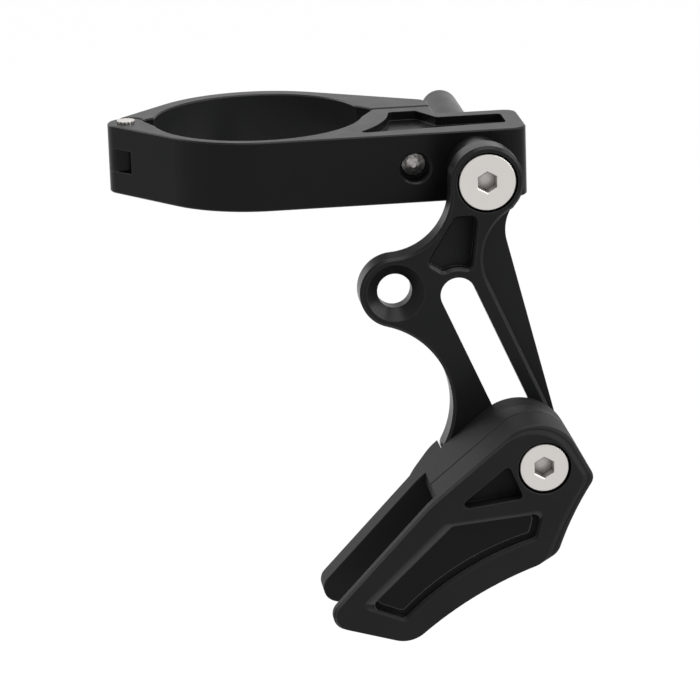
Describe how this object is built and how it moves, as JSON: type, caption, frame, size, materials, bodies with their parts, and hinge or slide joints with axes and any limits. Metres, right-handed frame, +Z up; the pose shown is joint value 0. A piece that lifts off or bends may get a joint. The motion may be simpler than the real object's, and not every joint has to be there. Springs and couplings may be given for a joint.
{
  "type": "bicycle chain guide",
  "caption": "Bicycle chain guide with a hinged seat tube clamp, a sliding post, a slotted swing arm and moulded side plates that straddle the chain.",
  "frame": {"origin": "middle of the seat tube bore, at half the clamp's height", "axes": "+Z up along the seat tube, +X towards the clamp's free end and the arm's pivot, -Y out to the chain"},
  "size_m": [0.0723, 0.076, 0.0767],
  "materials": {
    "black_anodised": "satin black anodised, fine milled edges",
    "steel": "bright plated steel",
    "black_steel": "black oxide",
    "nylon": "matte moulded nylon with a fine grain"
  },
  "bodies": {
    "clamp": {"clamp_front": "black_anodised", "hinge_pin": "steel", "post_screw": "black_steel"},
    "jaw": {"clamp_rear": "black_anodised"},
    "draw_bolt": {"clamp_bolt": "steel"},
    "post": {"post": "black_anodised", "pivot_bolt": "steel"},
    "arm": {"arm": "black_anodised"},
    "carrier": {"guide_bolt": "steel", "guide_nut": "black_steel"},
    "guide": {"guide_front": "nylon", "guide_rear": "nylon"}
  },
  "joints": [
    {"name": "jaw_hinge", "type": "hinge", "parent": "clamp", "child": "jaw", "pos_m": [-0.022, 0.0015, 0], "axis": [0, 0, 1], "range_deg": [0, 3]},
    {"name": "bolt_travel", "type": "slide", "parent": "clamp", "child": "draw_bolt", "axis": [0, 1, 0], "range_m": [0, 0.0027]},
    {"name": "post_slide", "type": "slide", "parent": "clamp", "child": "post", "axis": [0, -1, 0], "range_m": [0, 0.012]},
    {"name": "arm_pivot", "type": "hinge", "parent": "post", "child": "arm", "pos_m": [0.034, -0.03, 0], "axis": [0, -1, 0], "range_deg": [-60, 60]},
    {"name": "carrier_slide", "type": "slide", "parent": "arm", "child": "carrier", "axis": [-0.3987, 0, 0.9171], "range_m": [0, 0.017]},
    {"name": "guide_tilt", "type": "hinge", "parent": "carrier", "child": "guide", "pos_m": [0.03929, -0.04, -0.04264], "axis": [0, -1, 0], "range_deg": [-18, 18]}
  ],
  "couplings": [
    {"joint": "bolt_travel", "follows": "jaw_hinge", "m_per_rad": 0.0497}
  ]
}
